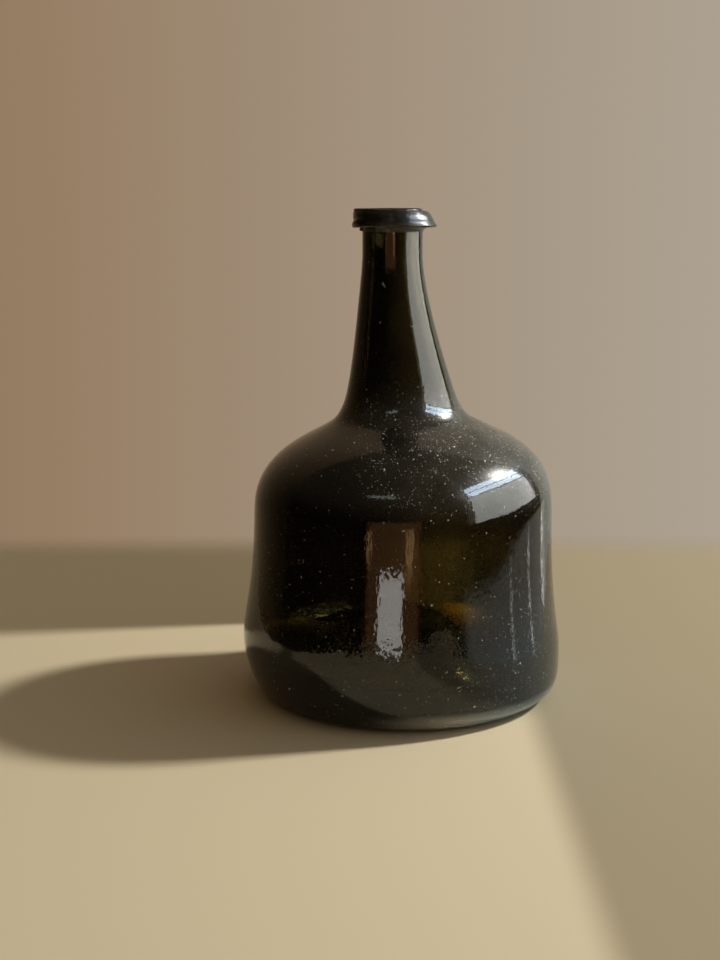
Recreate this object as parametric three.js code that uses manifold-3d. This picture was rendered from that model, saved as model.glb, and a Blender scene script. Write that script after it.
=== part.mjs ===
// Mallet bottle, free blown in dark olive glass, with a trailed string rim and a pontil scar.
// Millimetres, +Z up. The origin is on the floor, under the middle of the body.
import * as THREE from "three";
import { mergeVertices } from "three/addons/utils/BufferGeometryUtils.js";
import Module from "manifold-3d";

// Overall height, from the floor to the top of the lip.
const height = 200;

// Resting ring, the flat worn ring that the bottle stands on.
const restRadius = 51;
const restWidth = 3.6;

// Heel and belly. The belly is the widest place, low on the body.
const bellyRadius = 66.4;
const bellyHeight = 22.5;
const heelSpread = 11.3;
const heelRise = 16;

// Side wall, which narrows from the belly to the shoulder.
const shoulderRadius = 61.7;
const shoulderHeight = 79;
const wallLeave = 10;
const wallArrive = 37.5;

// Shoulder, which rounds over to the root of the neck.
const neckRootRadius = 28.9;
const shoulderRise = 35.6;
const shoulderSlope = THREE.MathUtils.degToRad(31.5);
const shoulderRound = 24;
const shoulderEase = 12.6;

// Fillet between shoulder and neck.
const neckFootRadius = 23.6;
const neckFootRise = 7.2;
const neckFootSlope = THREE.MathUtils.degToRad(66);
const filletLeave = 2.7;
const filletArrive = 3.3;

// Neck, which tapers to a short straight length under the mouth.
const neckRadius = 12.2;
const neckStraight = 18.5;
const neckLeave = 8;
const neckArrive = 11.6;

// Lip, fire polished round and flat on top.
const lipRound = 1.1;

// Thickness of the glass.
const lipWall = 3.4;
const neckFootWall = 4;
const shoulderWall = 4.4;
const bellyWall = 5;
const heelWall = 9;
const kickWall = 7;

// Kick-up, the pushed-up base.
const kickHeight = 30;
const kickPower = 1.7;
const valleyInset = 4;
const valleyEase = 4;
const innerHeelEase = 6;

// The hand-made bottle isn't quite true: its centre line wanders and its shoulder and heel are tilted.
const footSway = 1.5;
const shoulderSway = 0.45;
const mouthSway = -4.2;
const swayStartHeight = 40;
const leanStartHeight = 102;
const heelTilt = -0.036;
const shoulderTilt = 0.028;
const heelTiltRise = 14;
const heelTiltHold = 10;
const heelTiltFall = 24;
const shoulderTiltLead = 9;
const shoulderTiltRise = 26;
const rootTiltLead = 2.6;
const bellyForward = 1.2;
const shoulderBack = 1.6;
const wallSwayHeight = 48;
const wallSwayTop = 86;

// String rim, a trail of glass wound once round the neck and tooled down, with its end lapped over its start.
const rimDrop = 0.6;
const rimTopRadius = 15.2;
const rimSkirtRadius = 16.9;
const rimTall = 6.9;
const rimTallSwing = 0.5;
const rimTopSwing = 0.7;
const rimSkirtSwing = 1.2;
const rimTopRound = 1.3;
const rimSkirtRound = 0.8;
const rimUndercut = 0.9;
const seamGap = 0.3;

// Lap of the trail, at the front left of the string rim.
const lapFrom = THREE.MathUtils.degToRad(142);
const lapTo = THREE.MathUtils.degToRad(236);
const lapThick = 1.2;
const lapTall = 2.1;
const lapProud = 0.35;
const lapStartRise = 2.3;
const lapEndRise = 4.6;
const lapTip = 0.25;

// Pontil scar, the rough ring of glass left by the pontil rod in the kick-up.
const scarRadius = 12;
const scarWidth = 5;
const scarDepth = 2.4;
const scarRagged = 0.8;
const scarTeeth = 11;
const scarWaves = 3;
const scarRounding = 0.5;

// How finely the round shapes are divided.
const bodySides = 60;
const scarSides = 44;
const scarSteps = 4;
const lapSteps = 16;
const lapSides = 10;
const lipSteps = 2;
const rimRoundSteps = 3;
const outsideSteps = { kick: 7, heel: 7, side: 6, shoulder: 8, fillet: 3, neck: 6 };
const insideSteps = { neck: 5, fillet: 2, shoulder: 5, side: 4, heel: 4, floor: 6 };

// Points closer than this are one point.
const samePoint = 1e-4;

const neckRootHeight = shoulderHeight + shoulderRise;
const neckFootHeight = neckRootHeight + neckFootRise;
const neckTopHeight = height - neckStraight;
const ringInner = restRadius - restWidth;
const boreRadius = neckRadius - lipWall;

const wasm = await Module();
wasm.setup();

// A cubic curve in the profile plane, where x is the radius and y is the height.
function curve(...corners) {
  const [a, b, c, d] = corners.map(([radius, z]) => new THREE.Vector2(radius, z));
  return new THREE.CubicBezierCurve(a, b, c, d);
}

// The outside of the bottle from the resting ring to the top of the neck.
function outerCurves() {
  const slopeOut = Math.cos(shoulderSlope);
  const slopeUp = Math.sin(shoulderSlope);
  const footOut = Math.cos(neckFootSlope);
  const footUp = Math.sin(neckFootSlope);
  const heel = curve(
    [restRadius, 0],
    [restRadius + heelSpread, 0],
    [bellyRadius, bellyHeight - heelRise],
    [bellyRadius, bellyHeight],
  );
  const side = curve(
    [bellyRadius, bellyHeight],
    [bellyRadius, bellyHeight + wallLeave],
    [shoulderRadius, shoulderHeight - wallArrive],
    [shoulderRadius, shoulderHeight],
  );
  const shoulder = curve(
    [shoulderRadius, shoulderHeight],
    [shoulderRadius, shoulderHeight + shoulderRound],
    [neckRootRadius + shoulderEase * slopeOut, neckRootHeight - shoulderEase * slopeUp],
    [neckRootRadius, neckRootHeight],
  );
  const fillet = curve(
    [neckRootRadius, neckRootHeight],
    [neckRootRadius - filletLeave * slopeOut, neckRootHeight + filletLeave * slopeUp],
    [neckFootRadius + filletArrive * footOut, neckFootHeight - filletArrive * footUp],
    [neckFootRadius, neckFootHeight],
  );
  const neck = curve(
    [neckFootRadius, neckFootHeight],
    [neckFootRadius - neckLeave * footOut, neckFootHeight + neckLeave * footUp],
    [neckRadius, neckTopHeight - neckArrive],
    [neckRadius, neckTopHeight],
  );
  return { heel, side, shoulder, fillet, neck };
}

// The thickness of the glass at a height, from the belly up.
function wallAt(z) {
  const { smoothstep } = THREE.MathUtils;
  const toShoulder = smoothstep(z, bellyHeight, shoulderHeight);
  const toFoot = smoothstep(z, shoulderHeight, neckRootHeight);
  const toLip = smoothstep(z, neckFootHeight, neckTopHeight);
  return bellyWall +
    (shoulderWall - bellyWall) * toShoulder +
    (neckFootWall - shoulderWall) * toFoot +
    (lipWall - neckFootWall) * toLip;
}

// Points on the inside of a wall, square to the outside curve and one wall thickness in from it.
function insideOf(outside, steps) {
  const points = [];
  for (let i = 0; i <= steps; i += 1) {
    const at = outside.getPoint(i / steps);
    const along = outside.getTangent(i / steps);
    const wall = wallAt(at.y);
    points.push(new THREE.Vector2(at.x - along.y * wall, at.y + along.x * wall));
  }
  return points;
}

// The height of a dome at a radius from the axis, between its rim and its crown.
function domeAt(radius, rimRadius, rimZ, crownZ) {
  return rimZ + (crownZ - rimZ) * (1 - (radius / rimRadius) ** kickPower);
}

// Points over a dome from the axis out to its rim.
function domePoints(rimRadius, rimZ, crownZ, steps) {
  const points = [];
  for (let i = 0; i <= steps; i += 1) {
    const radius = (rimRadius * i) / steps;
    points.push(new THREE.Vector2(radius, domeAt(radius, rimRadius, rimZ, crownZ)));
  }
  return points;
}

// The underside of the kick-up at a radius from the axis.
function kickUnderside(radius) {
  return domeAt(radius, ringInner, 0, kickHeight);
}

// A quarter round from one direction to another, about a centre.
function quarter(centreRadius, centreZ, radius, fromAngle, toAngle, steps) {
  const isClockwise = toAngle < fromAngle;
  const arc = new THREE.EllipseCurve(centreRadius, centreZ, radius, radius, fromAngle, toAngle, isClockwise);
  return arc.getPoints(steps);
}

// Keeps one point where two runs of a profile meet.
function joinRuns(...runs) {
  const points = [];
  for (const point of runs.flat()) {
    const last = points[points.length - 1];
    if (!last || last.distanceTo(point) > samePoint) points.push(point);
  }
  return points;
}

// The whole section of the bottle, from the axis under the kick-up round to the axis inside.
function bodyProfile() {
  const { heel, side, shoulder, fillet, neck } = outerCurves();
  const outside = [
    domePoints(ringInner, 0, kickHeight, outsideSteps.kick),
    heel.getPoints(outsideSteps.heel),
    side.getPoints(outsideSteps.side),
    shoulder.getPoints(outsideSteps.shoulder),
    fillet.getPoints(outsideSteps.fillet),
    neck.getPoints(outsideSteps.neck),
  ];
  const lip = [
    quarter(neckRadius - lipRound, height - lipRound, lipRound, 0, Math.PI / 2, lipSteps),
    quarter(boreRadius + lipRound, height - lipRound, lipRound, Math.PI / 2, Math.PI, lipSteps),
  ];
  const inside = [
    insideOf(neck, insideSteps.neck).reverse(),
    insideOf(fillet, insideSteps.fillet).reverse(),
    insideOf(shoulder, insideSteps.shoulder).reverse(),
    insideOf(side, insideSteps.side).reverse(),
  ];
  const innerBelly = bellyRadius - bellyWall;
  const valleyRadius = ringInner - valleyInset;
  const floorSlope = (kickPower * (kickHeight + kickWall - heelWall)) / valleyRadius;
  const heelInside = curve(
    [innerBelly, bellyHeight],
    [innerBelly, heelWall + innerHeelEase],
    [valleyRadius + valleyEase, heelWall - valleyEase * floorSlope],
    [valleyRadius, heelWall],
  );
  const floorInside = domePoints(valleyRadius, heelWall, kickHeight + kickWall, insideSteps.floor);
  return joinRuns(
    ...outside,
    ...lip,
    ...inside,
    heelInside.getPoints(insideSteps.heel),
    floorInside.reverse(),
  );
}

// How far the centre line of the glass has wandered along X, to the right, at a height.
function swayAt(z) {
  const { smoothstep } = THREE.MathUtils;
  return footSway * (1 - smoothstep(z, 0, bellyHeight)) +
    shoulderSway * smoothstep(z, swayStartHeight, shoulderHeight) +
    (mouthSway - shoulderSway) * smoothstep(z, leanStartHeight, neckTopHeight);
}

// How far the centre line has wandered along Y at a height: forward above the belly, then to the back.
function swayBackAt(z) {
  const { smoothstep } = THREE.MathUtils;
  return shoulderBack * smoothstep(z, wallSwayHeight, wallSwayTop) -
    bellyForward * smoothstep(z, bellyHeight, wallSwayHeight);
}

// The slope along X of the ring of glass at a height: level on the floor, and level again in the neck.
function tiltAt(z) {
  const { smoothstep } = THREE.MathUtils;
  const heelTop = bellyHeight + heelTiltHold;
  const shoulderLow = shoulderHeight - shoulderTiltLead;
  const heel = smoothstep(z, 0, heelTiltRise) - smoothstep(z, heelTop, heelTop + heelTiltFall);
  const shoulder = smoothstep(z, shoulderLow, shoulderLow + shoulderTiltRise) -
    smoothstep(z, neckRootHeight - rootTiltLead, neckFootHeight);
  return heelTilt * heel + shoulderTilt * shoulder;
}

// Moves every point of a true shape to where the hand-made one has it.
function makeUntrue(geometry) {
  const position = geometry.getAttribute("position");
  for (let i = 0; i < position.count; i += 1) {
    const x = position.getX(i);
    const y = position.getY(i);
    const z = position.getZ(i);
    position.setXYZ(i, x + swayAt(z), y + swayBackAt(z), z + x * tiltAt(z));
  }
  return geometry;
}

// A closed shape turned about the Z axis from a profile in the plane of radius and height.
function turned(profile, sides) {
  const geometry = new THREE.LatheGeometry(profile, sides);
  geometry.rotateX(Math.PI / 2);
  return geometry;
}

// A solid skin over rings of points. The rings close into a loop, or end in flat caps.
function skinOver(rings, isLoop) {
  const sides = rings[0].length;
  const positions = rings.flat().flatMap((point) => point.toArray());
  const faces = [];
  const last = isLoop ? rings.length : rings.length - 1;
  for (let i = 0; i < last; i += 1) {
    const here = i * sides;
    const next = ((i + 1) % rings.length) * sides;
    for (let j = 0; j < sides; j += 1) {
      const k = (j + 1) % sides;
      faces.push(here + j, next + j, next + k, here + j, next + k, here + k);
    }
  }
  if (!isLoop) {
    const end = (rings.length - 1) * sides;
    for (let j = 1; j < sides - 1; j += 1) {
      faces.push(0, j, j + 1, end, end + j + 1, end + j);
    }
  }
  const geometry = new THREE.BufferGeometry();
  geometry.setAttribute("position", new THREE.Float32BufferAttribute(positions, 3));
  geometry.setIndex(faces);
  return geometry;
}

// A geometry with its shared points merged, as a solid that can be joined to another.
function solidOf(geometry) {
  const bare = geometry.clone();
  bare.deleteAttribute("normal");
  bare.deleteAttribute("uv");
  const merged = mergeVertices(bare, samePoint);
  const mesh = new wasm.Mesh({
    numProp: 3,
    vertProperties: merged.getAttribute("position").array,
    triVerts: new Uint32Array(merged.index.array),
  });
  return new wasm.Manifold(mesh);
}

// A joined solid as a geometry again.
function geometryOf(solid) {
  const mesh = solid.getMesh();
  const geometry = new THREE.BufferGeometry();
  geometry.setAttribute("position", new THREE.BufferAttribute(mesh.vertProperties, 3));
  geometry.setIndex(new THREE.BufferAttribute(mesh.triVerts, 1));
  geometry.computeVertexNormals();
  return geometry;
}

// The radius of the string rim's skirt at an angle round the neck. It stands further out at the right.
function skirtRadiusAt(angle) {
  return rimSkirtRadius + rimSkirtSwing * Math.cos(angle);
}

// The section of the string rim at an angle round the neck. The left side is deeper, and fuller at its top.
function rimSection(angle) {
  const leftness = -Math.cos(angle);
  const skirtRadius = skirtRadiusAt(angle);
  const top = height - rimDrop;
  const bottom = top - rimTall - rimTallSwing * leftness;
  const topRadius = rimTopRadius + rimTopSwing * leftness;
  const inner = neckRadius + seamGap;
  const face = Math.atan2(skirtRadius - topRadius, top - bottom);
  return joinRuns(
    [new THREE.Vector2(inner, bottom + rimUndercut)],
    quarter(
      skirtRadius - rimSkirtRound, bottom + rimSkirtRound, rimSkirtRound,
      -Math.PI / 2, face, rimRoundSteps,
    ),
    quarter(topRadius - rimTopRound, top - rimTopRound, rimTopRound, face, Math.PI / 2, rimRoundSteps),
    [new THREE.Vector2(inner, top)],
  );
}

// Where a point of a section stands once the section is turned to its angle.
function placed(sectionPoint, angle) {
  return new THREE.Vector3(
    Math.cos(angle) * sectionPoint.x,
    Math.sin(angle) * sectionPoint.x,
    sectionPoint.y,
  );
}

// The trail of the string rim, once round the neck.
function rimTrail() {
  const rings = [];
  for (let i = 0; i < bodySides; i += 1) {
    const angle = (2 * Math.PI * i) / bodySides;
    rings.push(rimSection(angle).map((point) => placed(point, angle)));
  }
  return skinOver(rings, true);
}

// The lapped end of the trail, an oval tongue that rises round the rim and thins at both ends.
function rimLap() {
  const rings = [];
  for (let i = 0; i <= lapSteps; i += 1) {
    const along = i / lapSteps;
    const angle = lapFrom + (lapTo - lapFrom) * along;
    const size = lapTip + (1 - lapTip) * Math.sqrt(Math.sin(Math.PI * along));
    const skirt = height - rimDrop - rimTall;
    const z = skirt + lapStartRise + (lapEndRise - lapStartRise) * along;
    const radius = skirtRadiusAt(angle) - lapThick + lapProud * size;
    const oval = new THREE.EllipseCurve(radius, z, lapThick * size, lapTall * size);
    rings.push(oval.getPoints(lapSides).slice(1).map((point) => placed(point, angle)));
  }
  return skinOver(rings, false);
}

// The section of the pontil scar at an angle, seated under the kick-up, with a ragged lower edge.
function scarSection(angle) {
  const ragged = Math.sin(scarTeeth * angle) * Math.cos(scarWaves * angle) * scarRagged;
  const seat = [];
  const edge = [];
  for (let i = 0; i <= scarSteps; i += 1) {
    const across = (2 * i) / scarSteps - 1;
    const radius = scarRadius + (across * scarWidth) / 2;
    const z = kickUnderside(radius) - seamGap;
    seat.push(new THREE.Vector2(radius, z));
    if (i > 0 && i < scarSteps) {
      const depth = (scarDepth + ragged) * (1 - scarRounding * across ** 2);
      edge.push(new THREE.Vector2(radius, z - depth));
    }
  }
  return [...edge, ...seat.reverse()];
}

// The pontil scar, once round the kick-up.
function scarGeometry() {
  const rings = [];
  for (let i = 0; i < scarSides; i += 1) {
    const angle = (2 * Math.PI * i) / scarSides;
    rings.push(scarSection(angle).map((point) => placed(point, angle)));
  }
  return skinOver(rings, true);
}

const bottle = new THREE.Group();
bottle.name = "mallet_bottle";

// Adds a piece, moved with the glass round it.
function addPiece(name, geometry, look) {
  const mesh = new THREE.Mesh(makeUntrue(geometry), new THREE.MeshStandardMaterial(look));
  mesh.name = name;
  bottle.add(mesh);
}

const oliveGlass = { color: 0x1b1509, roughness: 0.08, metalness: 0 };
const trailGlass = { color: 0x2a2110, roughness: 0.12, metalness: 0 };
const brokenGlass = { color: 0x4a4528, roughness: 0.55, metalness: 0 };

addPiece("bottle_body", turned(bodyProfile(), bodySides), oliveGlass);
addPiece("string_rim", geometryOf(solidOf(rimTrail()).add(solidOf(rimLap()))), trailGlass);
addPiece("pontil_scar", scarGeometry(), brokenGlass);

export default bottle;
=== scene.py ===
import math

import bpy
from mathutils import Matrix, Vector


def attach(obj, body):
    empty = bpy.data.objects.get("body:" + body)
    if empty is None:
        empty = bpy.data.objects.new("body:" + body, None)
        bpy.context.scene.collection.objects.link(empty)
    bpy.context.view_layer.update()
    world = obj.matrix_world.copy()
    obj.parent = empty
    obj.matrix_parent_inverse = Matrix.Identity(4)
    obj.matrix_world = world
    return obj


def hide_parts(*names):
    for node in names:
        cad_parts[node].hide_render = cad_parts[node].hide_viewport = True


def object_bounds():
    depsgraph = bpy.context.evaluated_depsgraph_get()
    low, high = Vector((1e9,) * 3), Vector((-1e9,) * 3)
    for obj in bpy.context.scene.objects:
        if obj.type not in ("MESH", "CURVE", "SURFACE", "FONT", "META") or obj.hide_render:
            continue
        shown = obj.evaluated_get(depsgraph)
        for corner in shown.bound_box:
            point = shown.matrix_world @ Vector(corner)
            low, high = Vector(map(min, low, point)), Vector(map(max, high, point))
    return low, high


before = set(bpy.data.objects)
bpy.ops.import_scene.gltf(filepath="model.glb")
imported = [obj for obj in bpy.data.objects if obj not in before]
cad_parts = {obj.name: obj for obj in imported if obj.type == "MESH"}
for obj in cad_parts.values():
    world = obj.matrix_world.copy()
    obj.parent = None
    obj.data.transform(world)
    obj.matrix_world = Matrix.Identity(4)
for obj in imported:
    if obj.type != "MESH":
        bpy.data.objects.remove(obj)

# Free-blown mallet bottle in dark olive glass, with a lapped string rim and a pushed-up base.
# Metres, +Z up. The origin is on the floor, under the middle of the body.

cad_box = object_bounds()
MM = 0.001

# Overall height, from the floor to the top of the lip
HEIGHT = cad_box[1].z

# How far the glass stays inside the frame's height at its foot and at its lip
CLEARANCE = 0.05 * MM

# Resting ring, the worn ring that the bottle stands on
REST_RADIUS = 51 * MM
REST_WIDTH = 3.6 * MM

# Heel and belly
BELLY_RADIUS = 66.4 * MM
BELLY_HEIGHT = 22.5 * MM
HEEL_SPREAD = 11.3 * MM
HEEL_RISE = 16 * MM

# Side wall
SHOULDER_RADIUS = 61.7 * MM
SHOULDER_HEIGHT = 79 * MM
WALL_LEAVE = 10 * MM
WALL_ARRIVE = 37.5 * MM

# Shoulder
NECK_ROOT_RADIUS = 28.9 * MM
NECK_ROOT_HEIGHT = SHOULDER_HEIGHT + 35.6 * MM
SHOULDER_SLOPE = math.radians(31.5)
SHOULDER_ROUND = 24 * MM
SHOULDER_EASE = 12.6 * MM

# Fillet between shoulder and neck
NECK_FOOT_RADIUS = 23.6 * MM
NECK_FOOT_HEIGHT = NECK_ROOT_HEIGHT + 7.2 * MM
NECK_FOOT_SLOPE = math.radians(66)
FILLET_LEAVE = 2.7 * MM
FILLET_ARRIVE = 3.3 * MM

# Neck
NECK_RADIUS = 12.2 * MM
NECK_TOP_HEIGHT = HEIGHT - 18.5 * MM
NECK_LEAVE = 8 * MM
NECK_ARRIVE = 11.6 * MM
LIP_ROUND = 1.1 * MM
LIP_TOP = HEIGHT - CLEARANCE

# Thickness of the glass
LIP_WALL = 3.4 * MM
NECK_FOOT_WALL = 4 * MM
SHOULDER_WALL = 4.4 * MM
BELLY_WALL = 5 * MM
HEEL_WALL = 9 * MM
KICK_WALL = 7 * MM
BORE_RADIUS = NECK_RADIUS - LIP_WALL

# Kick-up, the pushed-up base
KICK_HEIGHT = 30 * MM
KICK_POWER = 1.7
VALLEY_INSET = 4 * MM
VALLEY_EASE = 4 * MM
INNER_HEEL_EASE = 6 * MM
RING_INNER = REST_RADIUS - REST_WIDTH
POLE_RADIUS = 1.2 * MM
POLE_RISE = 0.1 * MM

# How far the hand-made glass leans and tilts
FOOT_SWAY = 1.5 * MM
SHOULDER_SWAY = 0.45 * MM
MOUTH_SWAY = -4.2 * MM
SWAY_START = 40 * MM
LEAN_START = 102 * MM
HEEL_TILT = -0.036
SHOULDER_TILT = 0.028
HEEL_TILT_RISE = 14 * MM
HEEL_TILT_HOLD = 10 * MM
HEEL_TILT_FALL = 24 * MM
SHOULDER_TILT_LEAD = 9 * MM
SHOULDER_TILT_RISE = 26 * MM
ROOT_TILT_LEAD = 2.6 * MM

# How far the centre line wanders forward above the belly, to the back at the shoulder, and home up the neck
BELLY_FORWARD = 1.27 * MM
FORWARD_HEIGHT = 48.5 * MM
SHOULDER_BACK = 2.42 * MM
BACK_START = 42.5 * MM
BACK_HEIGHT = 91 * MM
MOUTH_BACK = 0.4 * MM

# Unevenness of the blown wall: how long its hollows are, and how deep
GATHERING = (34 * MM, 0.015 * MM)
BLOWING = (10 * MM, 0.006 * MM)
# What lies lower than this is ground flat as the resting ring
RING_GROUND = 0.4 * MM

# String rim. The left side is fuller and deeper.
RIM_TOP = HEIGHT - 0.6 * MM
RIM_TALL = 6.9 * MM
RIM_FOOT = RIM_TOP - RIM_TALL
RIM_TALL_SWING = 0.5 * MM
RIM_TOP_SWING = 0.7 * MM
RIM_SKIRT_SWING = 1.2 * MM
RIM_SKIRT_RADIUS = 16.9 * MM
RIM_BEAD = 0.75 * MM
RIM_TOP_ROUND = 1.3 * MM
RIM_SEAT = NECK_RADIUS - 1.7 * MM
RIM_SEAT_DROP = 0.2 * MM
# Points of its section, as radius and height over its foot: the hollow under the bead, and the hollow face
RIM_UNDER = ((RIM_SEAT, -2.4 * MM), (12.3 * MM, -1.9 * MM), (12.6 * MM, -0.9 * MM),
             (13.3 * MM, 0.1 * MM), (14.4 * MM, 0.5 * MM), (15.4 * MM, 0.2 * MM))
RIM_FACE = ((16.3 * MM, 2 * MM), (16.2 * MM, 3.2 * MM), (15.75 * MM, 5 * MM))
RIM_TOP_RADIUS = 13.9 * MM
# How it melts into one skin: the grain of the melt, and how often it is smoothed
RIM_GRAIN = 0.22 * MM
RIM_POLISH = 4
# Unevenness of the tooled trail: how long its hollows are, and how deep
TOOLING = (7 * MM, 0.3 * MM)
CHILL = (1.8 * MM, 0.07 * MM)
# Drops of glass left on it: turn in degrees, radius, height, and half its size each way
RIM_DROPS = {
    "drip": (190, 12.7 * MM, RIM_FOOT - 0.9 * MM, (0.9 * MM, 0.9 * MM, 0.75 * MM)),
    "drop": (196, 14.2 * MM, RIM_TOP - 0.15 * MM, (1.5 * MM, 1.2 * MM, 0.55 * MM)),
    "droplet": (214, 13.9 * MM, RIM_TOP - 0.1 * MM, (0.8 * MM, 0.9 * MM, 0.5 * MM)),
}

# Tongue of the trail, which laps over its start at the front left
TONGUE_FROM = math.radians(164)
TONGUE_TO = math.radians(246)
TONGUE_STEPS = 22
TONGUE_SIDES = 20
TONGUE_TIP_TALL = 0.9 * MM
TONGUE_END_TALL = 3.1 * MM
TONGUE_THICK = 1.25 * MM
TONGUE_PROUD = 0.45 * MM
TONGUE_SINK = 1.5 * MM
TONGUE_HANG = 0.1 * MM
# Shares of its length: grown to its full thickness, and where it starts to sink into the face
TONGUE_GROWN = 0.35
TONGUE_SINKS = 0.45
# Shares of its thickness: what its tip has, and what its end has lost
TONGUE_TIP_THICK = 0.45
TONGUE_END_LOSS = 0.35

# Pontil scar
SCAR_RADIUS = 12 * MM
SCAR_WIDTH = 5 * MM
SCAR_DEPTH = 2.4 * MM
SCAR_SINK = 0.4 * MM
# Its section: shares of half its width out, and of its depth down, where -1 is sunk into the glass
SCAR_FORM = ((-1, -1), (-0.95, 0.5), (-0.35, 0.95), (0.3, 1), (0.85, 0.65), (1, -1))
# Chips of the break: how far apart, how deep, and the share of them that cuts in
CHIP_SPACING = 2.6 * MM
CHIP_DEPTH = 1.1 * MM
CHIP_CUT = 0.7
CHIP_CREASE = math.radians(28)

# How finely the round shapes are divided
BODY_SIDES = 96
RIM_SIDES = 96
SCAR_SIDES = 72
# How many rings each stretch of the section gets, in the order in which the glass is drawn
OUTER_RINGS = (("heel", 14), ("side", 12), ("shoulder", 18), ("fillet", 6), ("neck", 16))
INNER_RINGS = (("neck", 14), ("fillet", 5), ("shoulder", 14), ("side", 10))
INNER_HEEL_RINGS = 9
INNER_DOME_RINGS = 12
KICK_RINGS = 14
LIP_RINGS = 4
BEAD_RINGS = 5
# Shares of the straight top of the neck that get a ring, outside going up and inside coming down
LIP_SHARES_UP = (0.35, 0.7)
LIP_SHARES_DOWN = (0.6, 0)


def smooth_step(value, low, high):
    """Rises smoothly from 0 at low to 1 at high."""
    share = min(max((value - low) / (high - low), 0), 1)
    return share * share * (3 - 2 * share)


def sway_at(height):
    """How far the centre line of the glass has wandered along X."""
    foot = FOOT_SWAY * (1 - smooth_step(height, 0, BELLY_HEIGHT))
    shoulder = SHOULDER_SWAY * smooth_step(height, SWAY_START, SHOULDER_HEIGHT)
    neck = (MOUTH_SWAY - SHOULDER_SWAY) * smooth_step(height, LEAN_START, NECK_TOP_HEIGHT)
    return foot + shoulder + neck


def sway_back_at(height):
    """How far the centre line has wandered along Y: forward above the belly, then to the back."""
    forward = BELLY_FORWARD * smooth_step(height, BELLY_HEIGHT, FORWARD_HEIGHT)
    back = SHOULDER_BACK * smooth_step(height, BACK_START, BACK_HEIGHT) ** 2
    way_home = SHOULDER_BACK - BELLY_FORWARD - MOUTH_BACK
    home = way_home * smooth_step(height, NECK_FOOT_HEIGHT, NECK_TOP_HEIGHT)
    return back - forward - home


def centre_at(height):
    """The middle of the ring of glass at a height."""
    return Vector((sway_at(height), sway_back_at(height), height))


def tilt_at(height):
    """The slope along X of the ring of glass at a height."""
    heel_top = BELLY_HEIGHT + HEEL_TILT_HOLD
    shoulder_low = SHOULDER_HEIGHT - SHOULDER_TILT_LEAD
    heel = smooth_step(height, 0, HEEL_TILT_RISE) - smooth_step(height, heel_top, heel_top + HEEL_TILT_FALL)
    shoulder = smooth_step(height, shoulder_low, shoulder_low + SHOULDER_TILT_RISE)
    root = smooth_step(height, NECK_ROOT_HEIGHT - ROOT_TILT_LEAD, NECK_FOOT_HEIGHT)
    return HEEL_TILT * heel + SHOULDER_TILT * (shoulder - root)


def wall_at(height):
    """The thickness of the glass at a height, from the belly up."""
    to_shoulder = smooth_step(height, BELLY_HEIGHT, SHOULDER_HEIGHT)
    to_foot = smooth_step(height, SHOULDER_HEIGHT, NECK_ROOT_HEIGHT)
    to_lip = smooth_step(height, NECK_FOOT_HEIGHT, NECK_TOP_HEIGHT)
    return (BELLY_WALL + (SHOULDER_WALL - BELLY_WALL) * to_shoulder
            + (NECK_FOOT_WALL - SHOULDER_WALL) * to_foot + (LIP_WALL - NECK_FOOT_WALL) * to_lip)


def outer_curves():
    """The outside of the glass as cubic curves in the plane of radius and height, heel first."""
    slope_out, slope_up = math.cos(SHOULDER_SLOPE), math.sin(SHOULDER_SLOPE)
    foot_out, foot_up = math.cos(NECK_FOOT_SLOPE), math.sin(NECK_FOOT_SLOPE)
    rest = (REST_RADIUS, 0)
    belly = (BELLY_RADIUS, BELLY_HEIGHT)
    shoulder = (SHOULDER_RADIUS, SHOULDER_HEIGHT)
    root = (NECK_ROOT_RADIUS, NECK_ROOT_HEIGHT)
    foot = (NECK_FOOT_RADIUS, NECK_FOOT_HEIGHT)
    top = (NECK_RADIUS, NECK_TOP_HEIGHT)
    return {
        "heel": (rest, (REST_RADIUS + HEEL_SPREAD, 0), (BELLY_RADIUS, BELLY_HEIGHT - HEEL_RISE), belly),
        "side": (belly, (BELLY_RADIUS, BELLY_HEIGHT + WALL_LEAVE),
                 (SHOULDER_RADIUS, SHOULDER_HEIGHT - WALL_ARRIVE), shoulder),
        "shoulder": (shoulder, (SHOULDER_RADIUS, SHOULDER_HEIGHT + SHOULDER_ROUND),
                     (NECK_ROOT_RADIUS + SHOULDER_EASE * slope_out,
                      NECK_ROOT_HEIGHT - SHOULDER_EASE * slope_up), root),
        "fillet": (root, (NECK_ROOT_RADIUS - FILLET_LEAVE * slope_out,
                          NECK_ROOT_HEIGHT + FILLET_LEAVE * slope_up),
                   (NECK_FOOT_RADIUS + FILLET_ARRIVE * foot_out,
                    NECK_FOOT_HEIGHT - FILLET_ARRIVE * foot_up), foot),
        "neck": (foot, (NECK_FOOT_RADIUS - NECK_LEAVE * foot_out,
                        NECK_FOOT_HEIGHT + NECK_LEAVE * foot_up),
                 (NECK_RADIUS, NECK_TOP_HEIGHT - NECK_ARRIVE), top),
    }


def inner_heel_curve():
    """The inside of the heel, from the belly down to the valley round the kick-up."""
    inner_belly = BELLY_RADIUS - BELLY_WALL
    valley = RING_INNER - VALLEY_INSET
    floor_slope = KICK_POWER * (KICK_HEIGHT + KICK_WALL - HEEL_WALL) / valley
    return ((inner_belly, BELLY_HEIGHT), (inner_belly, HEEL_WALL + INNER_HEEL_EASE),
            (valley + VALLEY_EASE, HEEL_WALL - VALLEY_EASE * floor_slope), (valley, HEEL_WALL))


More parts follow.
